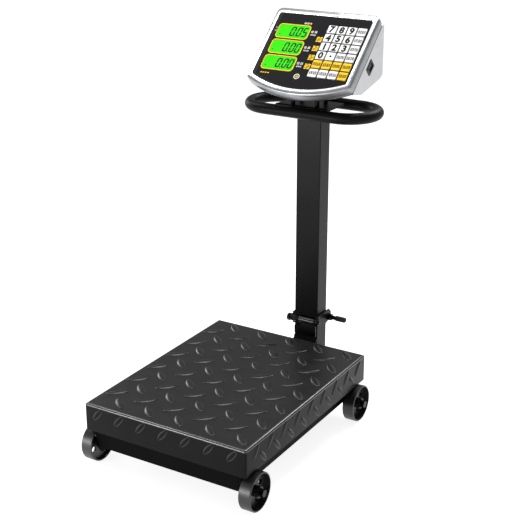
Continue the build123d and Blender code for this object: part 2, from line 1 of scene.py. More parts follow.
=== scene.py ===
import math
import bmesh
import bpy
import numpy as np
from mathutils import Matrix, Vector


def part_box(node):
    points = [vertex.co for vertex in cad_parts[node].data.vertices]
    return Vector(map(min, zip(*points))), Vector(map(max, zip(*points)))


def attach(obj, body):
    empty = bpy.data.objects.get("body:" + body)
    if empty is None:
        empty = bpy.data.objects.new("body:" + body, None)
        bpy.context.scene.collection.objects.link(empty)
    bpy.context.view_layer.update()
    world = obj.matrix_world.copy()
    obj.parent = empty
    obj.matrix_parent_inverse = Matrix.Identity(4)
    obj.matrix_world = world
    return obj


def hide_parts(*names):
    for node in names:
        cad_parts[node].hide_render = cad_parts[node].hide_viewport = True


# Portable platform scale: black tread-plate deck, folding column, oblong hand rail, chromed display head.
# Everything is in metres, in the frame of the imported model. X right, Y back, Z up, floor at Z = 0.

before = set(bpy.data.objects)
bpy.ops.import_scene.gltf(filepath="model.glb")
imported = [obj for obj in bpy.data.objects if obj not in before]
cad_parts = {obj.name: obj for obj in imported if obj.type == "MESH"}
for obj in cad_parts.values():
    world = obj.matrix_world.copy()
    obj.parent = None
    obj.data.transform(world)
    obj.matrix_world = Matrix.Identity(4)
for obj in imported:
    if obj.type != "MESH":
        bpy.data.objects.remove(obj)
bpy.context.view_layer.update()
mm = 0.001


def linearColour(hexText, alpha=1.0):
    value = np.array([int(hexText[i:i + 2], 16) for i in (1, 3, 5)]) / 255
    linear = np.where(value <= 0.04045, value / 12.92, ((value + 0.055) / 1.055) ** 2.4)
    return (*linear.tolist(), alpha)


def addNode(tree, kind, settings=None, links=None):
    node = tree.nodes.new(kind)
    for name, value in (settings or {}).items():
        if isinstance(name, int) or name in node.inputs:
            node.inputs[name].default_value = value
        else:
            setattr(node, name, value)
    for name, source in (links or {}).items():
        tree.links.new(source, node.inputs[name])
    return node


def newMaterial(name):
    material = bpy.data.materials.new(name)
    material.use_nodes = True
    tree = material.node_tree
    tree.nodes.clear()
    output = addNode(tree, "ShaderNodeOutputMaterial")
    shader = addNode(tree, "ShaderNodeBsdfPrincipled")
    tree.links.new(shader.outputs[0], output.inputs[0])
    place = addNode(tree, "ShaderNodeTexCoord").outputs["Object"]
    return material, tree, shader, place


def grainedFinish(name, look):
    # Colour and roughness drift with a broad noise, and a fine noise lifts the surface.
    material, tree, shader, place = newMaterial(name)
    for socket, value in look["shader"].items():
        shader.inputs[socket].default_value = value
    broad = addNode(tree, "ShaderNodeTexNoise", {"Scale": 1 / (look["driftMm"] * mm), "Detail": 3.0},
                    {"Vector": place})
    tint = addNode(tree, "ShaderNodeValToRGB", links={"Fac": broad.outputs[0]})
    tint.color_ramp.elements[0].position = 0.3
    tint.color_ramp.elements[0].color = linearColour(look["dark"])
    tint.color_ramp.elements[1].position = 0.7
    tint.color_ramp.elements[1].color = linearColour(look["light"])
    tree.links.new(tint.outputs[0], shader.inputs["Base Color"])
    low, high = look["roughness"]
    gloss = addNode(tree, "ShaderNodeMapRange", {"To Min": low, "To Max": high},
                    {"Value": broad.outputs[0]})
    tree.links.new(gloss.outputs[0], shader.inputs["Roughness"])
    fine = addNode(tree, "ShaderNodeTexNoise", {"Scale": 1 / (look["grainMm"] * mm), "Detail": 2.0},
                   {"Vector": place})
    bump = addNode(tree, "ShaderNodeBump", {"Strength": look["bump"], "Distance": look["reliefMm"] * mm},
                   {"Height": fine.outputs[0]})
    tree.links.new(bump.outputs[0], shader.inputs["Normal"])
    return material


# Satin black polyester powder coat on steel: dark and even, broken up by orange peel about 2 mm across.
powderCoat = grainedFinish("satinBlackPowderCoat", {
    "dark": "#050505", "light": "#0A0A0B", "roughness": (0.28, 0.36), "driftMm": 60, "grainMm": 2.0,
    "bump": 0.10, "reliefMm": 0.12, "shader": {"Metallic": 0.0, "IOR": 1.5, "Specular IOR Level": 0.11},
})

# The same coat on the frame under the deck: its colour is painted darker as the shade that falls under the deck,
# and dust makes it rougher and less glossy.
underDeckShadeCoat = grainedFinish("shadeDarkenedBlackPowderCoat", {
    "dark": "#020202", "light": "#050505", "roughness": (0.45, 0.60), "driftMm": 50, "grainMm": 2.0,
    "bump": 0.10, "reliefMm": 0.12, "shader": {"Metallic": 0.0, "IOR": 1.5, "Specular IOR Level": 0.04},
})

# The top of the deck: a satin coat that goods have scuffed in patches, so its gloss drifts.
deckCoat = grainedFinish("scuffedBlackPowderCoat", {
    "dark": "#090909", "light": "#0F0F10", "roughness": (0.30, 0.42), "driftMm": 38, "grainMm": 1.6,
    "bump": 0.12, "reliefMm": 0.12, "shader": {"Metallic": 0.0, "IOR": 1.5, "Specular IOR Level": 0.32},
})

# Rolled edges and raised lozenges, which goods rub until the coat is smooth and shines.
rubbedCoat = grainedFinish("rubbedBlackPowderCoat", {
    "dark": "#0A0A0A", "light": "#111112", "roughness": (0.27, 0.32), "driftMm": 15, "grainMm": 3.0,
    "bump": 0.01, "reliefMm": 0.05, "shader": {"Metallic": 0.0, "IOR": 1.5, "Specular IOR Level": 0.40},
})

# Long outer edges of the deck: the coat's colour there is lightened as a painted highlight, and its gloss is
# full, so the edge shows as a bright line.
edgeHighlightCoat = grainedFinish("highlightLightenedBlackPowderCoat", {
    "dark": "#101011", "light": "#1A1A1B", "roughness": (0.27, 0.31), "driftMm": 20, "grainMm": 3.0,
    "bump": 0.01, "reliefMm": 0.05, "shader": {"Metallic": 0.0, "IOR": 1.5, "Specular IOR Level": 1.0},
})

# Powder coat on the hand rail: a little rougher, so that its highlights are wide and soft.
railCoat = grainedFinish("softBlackPowderCoat", {
    "dark": "#050505", "light": "#0A0A0A", "roughness": (0.42, 0.48), "driftMm": 40, "grainMm": 2.4,
    "bump": 0.05, "reliefMm": 0.10, "shader": {"Metallic": 0.0, "IOR": 1.5, "Specular IOR Level": 0.10},
})

# Moulded black nylon wheels: semi-gloss, with the slight waviness of a moulding.
wheelNylon = grainedFinish("mouldedBlackNylon", {
    "dark": "#050505", "light": "#0A0A0A", "roughness": (0.36, 0.42), "driftMm": 12, "grainMm": 1.5,
    "bump": 0.03, "reliefMm": 0.06, "shader": {"Metallic": 0.0, "IOR": 1.53, "Specular IOR Level": 0.60},
})

# Soft PVC grip on the clamp: matt black.
gripVinyl = grainedFinish("mattBlackVinyl", {
    "dark": "#070707", "light": "#0E0E0E", "roughness": (0.50, 0.62), "driftMm": 8, "grainMm": 0.6,
    "bump": 0.2, "reliefMm": 0.08, "shader": {"Metallic": 0.0, "IOR": 1.5, "Specular IOR Level": 0.4},
})

# Bright zinc plate on bolts and pins: a cool silver with a slightly cloudy gloss.
zincPlate = grainedFinish("brightZincPlate", {
    "dark": "#A9ACB0", "light": "#C9CBCE", "roughness": (0.22, 0.36), "driftMm": 5, "grainMm": 0.5,
    "bump": 0.1, "reliefMm": 0.04, "shader": {"Metallic": 1.0},
})

# Blackened steel fasteners on the column: dark oxide that still shines a little.
blackOxide = grainedFinish("blackOxideSteel", {
    "dark": "#18181A", "light": "#2A2A2C", "roughness": (0.28, 0.42), "driftMm": 6, "grainMm": 0.6,
    "bump": 0.1, "reliefMm": 0.05, "shader": {"Metallic": 1.0},
})

# Chrome plate on moulded ABS: mirror-bright, with the long soft waves of the plastic under it.
chromePlate = grainedFinish("chromePlatedAbs", {
    "dark": "#E4E5E6", "light": "#EEEFF0", "roughness": (0.09, 0.15), "driftMm": 30, "grainMm": 14,
    "bump": 0.05, "reliefMm": 0.25, "shader": {"Metallic": 1.0},
})

# The same chrome round the rim's outer roll, painted a darker grey as shade so that the roll reads as an
# outline, and rougher.
shadeDarkenedChrome = grainedFinish("shadeDarkenedChromePlatedAbs", {
    "dark": "#8F9194", "light": "#A3A5A8", "roughness": (0.34, 0.40), "driftMm": 30, "grainMm": 10,
    "bump": 0.05, "reliefMm": 0.20, "shader": {"Metallic": 1.0},
})

# A matt black strip in the real gap between the head's two shells: its black stands in for the shade inside the
# gap, a painted shadow, so the joint reads as a dark line.
seamShadeFoam = grainedFinish("seamShadeBlackFoam", {
    "dark": "#030303", "light": "#080808", "roughness": (0.75, 0.90), "driftMm": 5, "grainMm": 0.5,
    "bump": 0.3, "reliefMm": 0.08, "shader": {"Metallic": 0.0, "IOR": 1.4, "Specular IOR Level": 0.1},
})

# The rear shell's chrome is thinner and cloudier, so it shows as a plain light grey.
cloudyChrome = grainedFinish("cloudyChromePlatedAbs", {
    "dark": "#BCBDBF", "light": "#CACBCD", "roughness": (0.20, 0.28), "driftMm": 35, "grainMm": 10,
    "bump": 0.05, "reliefMm": 0.20, "shader": {"Metallic": 1.0},
})

# Milled aluminium of the load cell, clear anodised.
milledAluminium = grainedFinish("anodisedAluminium", {
    "dark": "#B4B6B8", "light": "#C6C8CA", "roughness": (0.32, 0.42), "driftMm": 10, "grainMm": 0.7,
    "bump": 0.15, "reliefMm": 0.04, "shader": {"Metallic": 1.0},
})

# Printed polycarbonate film of the front panel: dark grey ink under a fine matt texture.
panelFilm = grainedFinish("printedPolycarbonateFilm", {
    "dark": "#131315", "light": "#17171A", "roughness": (0.42, 0.50), "driftMm": 30, "grainMm": 0.4,
    "bump": 0.08, "reliefMm": 0.03, "shader": {"Metallic": 0.0, "IOR": 1.58, "Specular IOR Level": 0.035},
})

def printInk(name, dark, light):
    # Screen ink on the film and the keys: flat and even, with only a trace of mottle.
    return grainedFinish(name, {
        "dark": dark, "light": light, "roughness": (0.40, 0.50), "driftMm": 6, "grainMm": 0.4,
        "bump": 0.06, "reliefMm": 0.03, "shader": {"Metallic": 0.0, "IOR": 1.5, "Specular IOR Level": 0.12},
    })


blackInk = printInk("blackScreenInk", "#040405", "#09090A")
whiteInk = printInk("whiteScreenInk", "#E8E8E6", "#F2F2F0")
yellowInk = printInk("yellowScreenInk", "#F3C41A", "#FACE2A")
orangeInk = printInk("orangeScreenInk", "#DE7A1C", "#EA8A26")

# Keys under the film: white and yellow embossed caps with a satin skin.
keyWhite = printInk("whiteKeyFilm", "#EDEDEB", "#F5F5F3")
keyYellow = printInk("yellowKeyFilm", "#EFBB10", "#F6C61A")

# Moulded ABS parts inside the head and the rocker switch.
mouldedAbs = grainedFinish("mouldedBlackAbs", {
    "dark": "#0A0A0A", "light": "#121212", "roughness": (0.25, 0.34), "driftMm": 8, "grainMm": 0.7,
    "bump": 0.08, "reliefMm": 0.05, "shader": {"Metallic": 0.0, "IOR": 1.54, "Specular IOR Level": 0.5},
})
solderMask = grainedFinish("greenSolderMask", {
    "dark": "#0E4526", "light": "#175733", "roughness": (0.30, 0.40), "driftMm": 9, "grainMm": 1.0,
    "bump": 0.1, "reliefMm": 0.05, "shader": {"Metallic": 0.0, "IOR": 1.5, "Specular IOR Level": 0.5},
})


def backlitGlass(look):
    # Green cast acrylic lit from behind: the glow is almost even, and a broad noise drifts it a little.
    material, tree, shader, place = newMaterial("backlitGreenDisplay")
    drift = addNode(tree, "ShaderNodeTexNoise", {"Scale": 1 / (look["driftMm"] * mm), "Detail": 1.0},
                    {"Vector": place})
    glow = addNode(tree, "ShaderNodeValToRGB", links={"Fac": drift.outputs[0]})
    glow.color_ramp.elements[0].color = linearColour(look["dim"])
    glow.color_ramp.elements[1].color = linearColour(look["bright"])
    tree.links.new(glow.outputs[0], shader.inputs["Emission Color"])
    shader.inputs["Emission Strength"].default_value = look["strength"]
    shader.inputs["Base Color"].default_value = linearColour(look["glass"])
    shader.inputs["Roughness"].default_value = look["roughness"]
    shader.inputs["Specular IOR Level"].default_value = look["specular"]
    return material


displayGreen = backlitGlass({
    "dim": "#38EE00", "bright": "#48FC04", "glass": "#0A3A04", "strength": 0.95, "driftMm": 30,
    "roughness": 0.35, "specular": 0.04,
})
print("materials made")


def gridFaces(rows, columns, closeRows=False, closeColumns=False):
    # One square face for each step along both directions, wrapped round where a direction is closed.
    r = np.arange(rows if closeRows else rows - 1)
    c = np.arange(columns if closeColumns else columns - 1)
    r, c = np.meshgrid(r, c, indexing="ij")
    nextR, nextC = (r + 1) % rows, (c + 1) % columns
    corners = [r * columns + c, r * columns + nextC, nextR * columns + nextC, nextR * columns + c]
    return np.stack(corners, axis=-1).reshape(-1, 4).tolist()


def tubeParts(rings, closed=False):
    # rings is (count, around, 3). Open ends are shut with one flat face each.
    count, around = rings.shape[:2]
    faces = gridFaces(count, around, closeRows=closed, closeColumns=True)
    if not closed:
        faces.append(list(range(around)))
        faces.append([(count - 1) * around + i for i in range(around)])
    return rings.reshape(-1, 3), faces


def bandParts(rings):
    # Rings joined one to the next, with both ends left open for a neighbouring part to close.
    rings = np.array(rings)
    return rings.reshape(-1, 3), gridFaces(*rings.shape[:2], closeColumns=True)


def capParts(ring, up):
    # One flat face over a ring.
    order = list(range(len(ring)))
    return ring, [order if up else order[::-1]]


def joinParts(parts):
    # Parts are (vertices, faces, one material index or one for each face). Face numbers shift by the
    # vertices before them.
    vertices, faces, indices, start = [], [], [], 0
    for points, polygons, index in parts:
        vertices.append(np.asarray(points))
        faces += [[i + start for i in polygon] for polygon in polygons]
        indices += index if isinstance(index, list) else [index] * len(polygons)
        start += len(points)
    return np.concatenate(vertices), faces, indices


def makePiece(name, parts, materials, body, replaces=(), sharpAngle=32):
    vertices, faces, indices = joinParts(parts)
    mesh = bpy.data.meshes.new(name)
    mesh.from_pydata(vertices.tolist(), [], faces)
    for material in materials:
        mesh.materials.append(material)
    mesh.polygons.foreach_set("material_index", indices)
    shape = bmesh.new()
    shape.from_mesh(mesh)
    bmesh.ops.remove_doubles(shape, verts=shape.verts, dist=1e-6)
    bmesh.ops.recalc_face_normals(shape, faces=shape.faces)
    shape.to_mesh(mesh)
    shape.free()
    mesh.polygons.foreach_set("use_smooth", [True] * len(mesh.polygons))
    mesh.set_sharp_from_angle(angle=math.radians(sharpAngle))
    piece = bpy.data.objects.new(name, mesh)
    bpy.context.scene.collection.objects.link(piece)
    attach(piece, body)
    if replaces:
        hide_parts(*replaces)
    return piece


def roundedRectangle(halfX, halfY, radius, perCorner=6):
    # Four quarter circles joined by straight sides, anticlockwise from the right side's lower end.
    quarter = np.linspace(0, math.pi / 2, perCorner)
    points = []
    for turn, (sx, sy) in enumerate(((1, 1), (-1, 1), (-1, -1), (1, -1))):
        angle = quarter + turn * math.pi / 2
        centre = np.array([sx * (halfX - radius), sy * (halfY - radius)])
        points.append(centre + radius * np.stack([np.cos(angle), np.sin(angle)], axis=-1))
    return np.concatenate(points)


def nodeBox(node):
    low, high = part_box(node)
    return np.array(low), np.array(high)


deckLow, deckHigh = nodeBox("deck_cover")
deckCentre = (deckLow + deckHigh) / 2
deck = {
    "plate": 2.5 * mm, "edgeRadius": 4.8 * mm, "cornerRadius": 5 * mm,
    "lozengeLength": 52 * mm, "lozengeWidth": 17 * mm, "lozengeHeight": 2.3 * mm, "pitch": 75.8 * mm,
    "sideLength": 39 * mm, "sideWidth": 13 * mm, "sideHeight": 1.9 * mm, "sidePitch": 55.6 * mm,
    "sideLean": 0.87, "root": 0.8 * mm, "rubbedFrom": 0.62,
    "lowEdge": 0.6 * mm, "insideEdge": 0.4 * mm, "insideCorner": 1 * mm, "flatFrom": 6.2 * mm,
    "leastCorner": 0.5 * mm,
}


def deckTrayParts():
    # A profile of (inset, height) carried round the rounded rectangle: outside wall, rounded edge, flat top,
    # then inside wall.
    top, low, r, wall = deckHigh[2], deckLow[2], deck["edgeRadius"], deck["plate"]
    lowEdge, insideEdge, insideCorner = deck["lowEdge"], deck["insideEdge"], deck["insideCorner"]
    turn = np.linspace(0, math.pi / 2, 8)
    outer = [(lowEdge, low), (0, low + lowEdge), (0, top - r)]
    outer += [(r * (1 - math.cos(a)), top - r * (1 - math.sin(a))) for a in turn[1:]]
    inner = [(wall - insideEdge, low), (wall, low + insideEdge), (wall, top - wall - insideCorner),
             (wall + insideCorner, top - wall)]
    halfX, halfY = (deckHigh[0] - deckLow[0]) / 2, (deckHigh[1] - deckLow[1]) / 2
    rings = []
    for inset, height in outer + [(deck["flatFrom"], top)] + inner[::-1]:
        corner = max(deck["cornerRadius"] - inset, deck["leastCorner"])
        outline = roundedRectangle(halfX - inset, halfY - inset, corner) + deckCentre[:2]
        rings.append(np.column_stack([outline, np.full(len(outline), height)]))
    edge = len(outer)  # the ring where the flat top starts
    skirt, rolled = rings[:3], rings[2:edge + 1]
    inside = rings[edge + 1:]
    # The rolled edge band takes the lightened edge coat, a painted highlight.
    return [(*bandParts(skirt), 1), (*bandParts(rolled), 3), (*capParts(rings[edge], up=True), 0),
            (*bandParts(inside + rings[:1]), 1), (*capParts(inside[0], up=False), 1)]


def lozenge(centre, along, across, out, length, width, height, bodyIndex, stepsU=23, stepsV=15):
    # A long oval with slightly pointed ends: its half width is (1 - u squared) to the power 0.62. Across it
    # the height falls as the cube of v, so it is nearly flat on top and steep at the edge, and along it the
    # crest falls more slowly than the width. Its edges are rubbed bright.
    u, v = np.meshgrid(np.linspace(-1, 1, stepsU), np.linspace(-1, 1, stepsV), indexing="ij")
    narrow = np.clip(1 - u ** 2, 0, None)
    rise = height * (1 - np.abs(v) ** 3) * narrow ** 0.4
    top = (centre + along * (u * length / 2)[..., None]
           + across * (v * narrow ** 0.62 * width / 2)[..., None] + out * rise[..., None])
    index = np.arange(stepsU * stepsV).reshape(stepsU, stepsV)
    rim = np.concatenate([index[0], index[1:, -1], index[-1, ::-1][1:], index[::-1, 0][1:-1]])
    foot = top.reshape(-1, 3)[rim] - out * deck["root"]
    below = (stepsU * stepsV + np.arange(len(rim))).tolist()
    wall = np.stack([rim, np.roll(rim, -1), np.roll(below, -1), below], axis=-1).tolist()
    faces = gridFaces(stepsU, stepsV)
    edge = np.abs(np.linspace(-1, 1, stepsV)[:-1] + 1 / (stepsV - 1)) > deck["rubbedFrom"]
    indices = [2 if rubbed else bodyIndex for rubbed in np.tile(edge, stepsU - 1)]
    indices += [bodyIndex] * (len(wall) + 1)
    return np.concatenate([top.reshape(-1, 3), foot]), faces + wall + [below[::-1]], indices


def deckLozenges():
    # The top has two crossed sets on one square pitch, and each skirt has its own rows.
    parts = []
    diagonal = math.sqrt(0.5)
    rise = np.array([diagonal, diagonal, 0])
    fall = np.array([diagonal, -diagonal, 0])
    size = (deck["lozengeLength"], deck["lozengeWidth"], deck["lozengeHeight"])
    up, pitch = np.array([0, 0, 1.0]), deck["pitch"]
    sets = (  # along, across, first centre from the deck's middle in x and y, how many in x and y
        (rise, fall, -19.5 * mm - 2 * pitch, -186 * mm, 5, 6),
        (fall, rise, 16.5 * mm - 2 * pitch, -223.5 * mm, 5, 7),
    )
    for along, across, startX, startY, countX, countY in sets:
        for i in range(countX):
            for j in range(countY):
                shift = (startX + i * pitch, startY + j * pitch)
                centre = np.array([deckCentre[0] + shift[0], deckCentre[1] + shift[1], deckHigh[2]])
                parts.append(lozenge(centre, along, across, up, *size, 0))
    side = (deck["sideLength"], deck["sideWidth"], deck["sideHeight"])
    leanCos, leanSin = math.cos(deck["sideLean"]), math.sin(deck["sideLean"])
    short, long = ((20, 1),), ((20, 1), (41, -1))  # rows of (millimetres below the top, which way they lean)
    walls = (  # outward, along the wall, where the wall stands, rows, lozenges in a row
        (np.array([0, -1.0, 0]), np.array([1.0, 0, 0]), deckLow[1], short, 7),
        (np.array([0, 1.0, 0]), np.array([-1.0, 0, 0]), deckHigh[1], short, 7),
        (np.array([1.0, 0, 0]), np.array([0, 1.0, 0]), deckHigh[0], long, 9),
        (np.array([-1.0, 0, 0]), np.array([0, -1.0, 0]), deckLow[0], long, 9),
    )
    for out, run, wallAt, rows, length in walls:
        face = np.where(np.abs(out) > 0.5, wallAt, deckCentre)
        for below, lean in rows:
            along = run * leanCos + up * lean * leanSin
            across = run * leanSin - up * lean * leanCos
            shift = 0 if lean > 0 else 0.5
            for i in range(length - (lean < 0)):
                step = (i - (length - 1) / 2 + shift) * deck["sidePitch"]
                centre = face + run * step
                centre[2] = deckHigh[2] - below * mm
                parts.append(lozenge(centre, along, across, out, *side, 1, stepsU=17, stepsV=11))
    return parts


makePiece("treadDeck", deckTrayParts() + deckLozenges(), [deckCoat, powderCoat, rubbedCoat, edgeHighlightCoat],
          "base", ["deck_cover"])
print("deck made")


railLow, railHigh = nodeBox("handle_ring")
railCentre = (railLow + railHigh) / 2
rail = {"tube": 13 * mm, "bend": 67 * mm, "weldWidth": 4.5 * mm, "weldRipple": 2.2 * mm}


def stadiumPath(halfLength, radius, perBend=28, perSide=20):
    # Two half circles joined by straight sides, anticlockwise from the right end's lower tangent.
    straight = halfLength - radius
    bend = np.linspace(-math.pi / 2, math.pi / 2, perBend)
    right = np.stack([straight + radius * np.cos(bend), radius * np.sin(bend)], axis=-1)
    side = np.linspace(straight, -straight, perSide + 2)[1:-1]
    back = np.stack([side, np.full(perSide, radius)], axis=-1)
    return np.concatenate([right, back, -right, -back])


def sweepCircle(path, radius, around=28):
    # A circle of fixed radius stands square to the closed path at each point.
    ahead = np.roll(path, -1, axis=0) - np.roll(path, 1, axis=0)
    ahead /= np.linalg.norm(ahead, axis=1, keepdims=True)
    up = np.array([0, 0, 1.0])
    sideways = np.cross(ahead, up)
    sideways /= np.linalg.norm(sideways, axis=1, keepdims=True)
    above = np.cross(sideways, ahead)
    angle = np.linspace(0, 2 * math.pi, around, endpoint=False)
    ring = np.cos(angle)[None, :, None] * sideways[:, None] + np.sin(angle)[None, :, None] * above[:, None]
    return tubeParts(path[:, None] + radius * ring, closed=True)


def weldBead(start, end, width, ripple):
    # A bead along a straight joint: its radius swells and shrinks once for each ripple of the weld pool.
    start, end = np.asarray(start, float), np.asarray(end, float)
    length = np.linalg.norm(end - start)
    steps = max(int(length / ripple * 5), 12)
    t = np.linspace(0, 1, steps)
    path = start + (end - start) * t[:, None]
    taper = np.clip(np.minimum(t, 1 - t) * length / width, 0.25, 1) ** 0.5
    radius = width / 2 * taper * (1 + 0.10 * np.abs(np.sin(math.pi * t * length / ripple)))
    ahead = (end - start) / length
    helper = np.array([1.0, 0, 0]) if abs(ahead[2]) > 0.9 else np.array([0, 0, 1.0])
    sideways = np.cross(ahead, helper)
    sideways /= np.linalg.norm(sideways)
    above = np.cross(sideways, ahead)
    angle = np.linspace(0, 2 * math.pi, 12, endpoint=False)
    ring = np.cos(angle)[:, None] * sideways + np.sin(angle)[:, None] * above
    return tubeParts(path[:, None] + radius[:, None, None] * ring[None])


flat = stadiumPath(railHigh[0] - railCentre[0] - rail["tube"], rail["bend"])
railPath = np.column_stack([flat + railCentre[:2], np.full(len(flat), railCentre[2])])
makePiece("handRail", [(*sweepCircle(railPath, rail["tube"]), 0)], [railCoat], "mast",
          ["handle_ring"])

# Beads where the plate meets the rail, then round the top of the column under the plate.
(plateLeft, _, _), (plateRight, _, plateTop) = nodeBox("handle_plate")
(mastLeft, mastFront, _), (mastRight, mastBack, mastTop) = nodeBox("mast_tube")
reach = rail["bend"] - rail["tube"]
joints = [((plateLeft, y, plateTop), (plateRight, y, plateTop))
          for y in (railCentre[1] - reach, railCentre[1] + reach)]
joints += [((mastLeft, y, mastTop), (mastRight, y, mastTop)) for y in (mastFront, mastBack)]
joints += [((x, mastFront, mastTop), (x, mastBack, mastTop)) for x in (mastLeft, mastRight)]
beads = [(*weldBead(start, end, rail["weldWidth"], rail["weldRipple"]), 0) for start, end in joints]
makePiece("mastWelds", beads, [powderCoat], "mast")
print("hand rail made")


head = {
    "tilt": math.radians(47), "halfWidth": 131 * mm, "height": 200 * mm, "sag": 34 * mm, "depth": 26 * mm,
    "topRadius": 14 * mm, "lowRadius": 9 * mm, "seamGap": 2.5 * mm,
    "panelHalfWidth": 119 * mm, "panelLow": 9 * mm, "panelHigh": 184 * mm, "panelSag": 28 * mm,
    "panelTopRadius": 8 * mm, "panelLowRadius": 5 * mm, "panelDepth": 1 * mm, "print": 0.06 * mm,
}
shellLow, shellHigh = nodeBox("front_shell")
faceRight = np.array([1.0, 0, 0])
faceUp = np.array([0, math.sin(head["tilt"]), math.cos(head["tilt"])])
faceOut = np.array([0, -math.cos(head["tilt"]), math.sin(head["tilt"])])
faceOrigin = np.array([0, shellLow[1] + head["sag"] * faceUp[1], shellHigh[2] - head["height"] * faceUp[2]])


def onFace(u, v, depth):
    # A point u to the right, v up the face and depth behind it.
    u, v, depth = np.broadcast_arrays(u, v, depth)
    return faceOrigin + u[..., None] * faceRight + v[..., None] * faceUp - depth[..., None] * faceOut


def headOutline(halfWidth, low, high, sag, topRadius, lowRadius, shift=0.0):
    # Anticlockwise from the bottom middle: shallow arc, small bend, side, corner and top, then the mirror image.
    arcRadius = (halfWidth ** 2 + sag ** 2) / (2 * sag)
    arcV = low - sag + arcRadius
    bendV = arcV - math.sqrt((arcRadius - lowRadius) ** 2 - (halfWidth - lowRadius) ** 2)
    lean = math.atan2(bendV - arcV, halfWidth - lowRadius)
    sweep = np.linspace(-math.pi / 2, lean, 22)
    points = [np.stack([arcRadius * np.cos(sweep), arcV + arcRadius * np.sin(sweep)], axis=-1)]
    bend = np.linspace(lean, 0, 7)[1:]
    points.append(np.stack([halfWidth - lowRadius + lowRadius * np.cos(bend),
                            bendV + lowRadius * np.sin(bend)], axis=-1))
    side = np.linspace(bendV, high - topRadius, 9)[1:]
    points.append(np.stack([np.full(8, halfWidth), side], axis=-1))
    corner = np.linspace(0, math.pi / 2, 9)[1:]
    points.append(np.stack([halfWidth - topRadius + topRadius * np.cos(corner),
                            high - topRadius + topRadius * np.sin(corner)], axis=-1))
    top = np.linspace(halfWidth - topRadius, 0, 9)[1:]
    points.append(np.stack([top, np.full(8, high)], axis=-1))
    right = np.concatenate(points)
    left = right[1:-1][::-1] * np.array([-1, 1])
    return np.concatenate([right, left]) + np.array([shift, 0])


rimOuter = headOutline(head["halfWidth"], 0, head["height"], head["sag"], head["topRadius"],
                       head["lowRadius"])
rimInner = headOutline(head["panelHalfWidth"], head["panelLow"], head["panelHigh"], head["panelSag"],
                       head["panelTopRadius"], head["panelLowRadius"])


def rimRing(share, depth):
    # An outline part of the way from the head's outer edge to the panel's edge.
    return onFace(*(rimOuter * (1 - share) + rimInner * share).T, np.array(depth))


def headRimParts():
    # A profile of (share of the way from outer to inner outline, depth in millimetres) carried round both.
    back = head["depth"] / mm
    profile = [
        (1.0, 3.2), (1.0, 0.9), (0.985, 0.35), (0.95, 0.05),  # inner lip, down to the panel
        (0.86, 0.0), (0.70, 0.0), (0.50, 0.15), (0.36, 0.5),  # flat face
        (0.24, 1.1), (0.14, 2.1), (0.06, 3.6), (0.015, 5.4), (0.0, 7.5),  # outer roll
        (0.0, back - 3.2), (0.02, back - 2.6), (0.07, back - 2.4), (0.25, back - 2.4), (0.25, 3.2),  # wall
    ]
    rings = [rimRing(share, depth * mm) for share, depth in profile]
    roll, wallEnd = 7, 14  # the rings where the darker chrome, a painted shade, starts and where the outside wall ends
    return [(*bandParts(rings[:roll + 1]), 0), (*bandParts(rings[roll:wallEnd + 1]), 1),
            (*bandParts(rings[wallEnd:] + rings[:1]), 0)]


def backLipParts():
    # The front shell's closed back below the rear shell: a crescent from the curved edge to a straight line.
    inset, straightLine = 2 * mm, 8 * mm
    outline = headOutline(head["halfWidth"] - inset, inset, straightLine, head["sag"], 1 * mm, 4 * mm)
    depths = (head["depth"] - 2 * head["seamGap"], head["depth"] - head["seamGap"])
    return tubeParts(np.array([onFace(*outline.T, np.array(depth)) for depth in depths]))


def gasketParts():
    # A plain square strip between the shells, set in from both, that darkens the joint as painted shadow.
    back, front = head["depth"], head["depth"] - head["seamGap"]
    corners = ((0.08, back), (0.08, front), (0.22, front), (0.22, back))
    return tubeParts(np.array([rimRing(share, depth) for share, depth in corners]), closed=True)


makePiece("headRim", headRimParts() + [(*backLipParts(), 0)], [chromePlate, shadeDarkenedChrome], "mast",
          ["front_shell"], sharpAngle=50)
makePiece("headSeamShadeStrip", [(*gasketParts(), 0)], [seamShadeFoam], "mast")
print("head rim made")


def flatPrint(outline, depth, thickness, index):
    # A closed outline on the face, raised by the thickness of the ink.
    rings = [onFace(*outline.T, np.array(d)) for d in (depth, depth - thickness)]
    return (*tubeParts(np.array(rings)), index)


def ringPrint(outer, inner, depth, thickness, index):
    # A closed band between two outlines with the same number of points.
    pairs = ((outer, depth), (outer, depth - thickness), (inner, depth - thickness), (inner, depth))
    rings = [onFace(*line.T, np.array(d)) for line, d in pairs]
    return (*tubeParts(np.array(rings), closed=True), index)


def disc(u, v, radius, flat=0.1 * mm, perCorner=6):
    # A circle as an outline, with flats of twice the given length so that no two of its points meet.
    return roundedRectangle(radius, radius, radius - flat, perCorner) + np.array([u, v])


def bar(u, v, width, height, slant=0.0):
    # A small slanted rectangle as an outline.
    x = np.array([-1, 1, 1, -1]) * width / 2
    y = np.array([-1, -1, 1, 1]) * height / 2
    return np.stack([u + x + slant * y, v + y], axis=-1)


def genericMark(u, v, size, seed, index, depth, weight=0.15):
    # Rows of plain dashes where a caption would be, each row split at its own place. They spell nothing.
    rng = np.random.default_rng(seed)
    gap, rowPitch = 0.10 * size, 0.27 * size
    parts = []
    for row in (-1.5, -0.5, 0.5, 1.5):
        split = rng.uniform(0.30, 0.70) * size
        for start, end in ((0, split - gap / 2), (split + gap / 2, size)):
            dash = bar(u - size / 2 + (start + end) / 2, v + row * rowPitch, end - start, weight * size)
            parts.append(flatPrint(dash, depth, head["print"], index))
    return parts


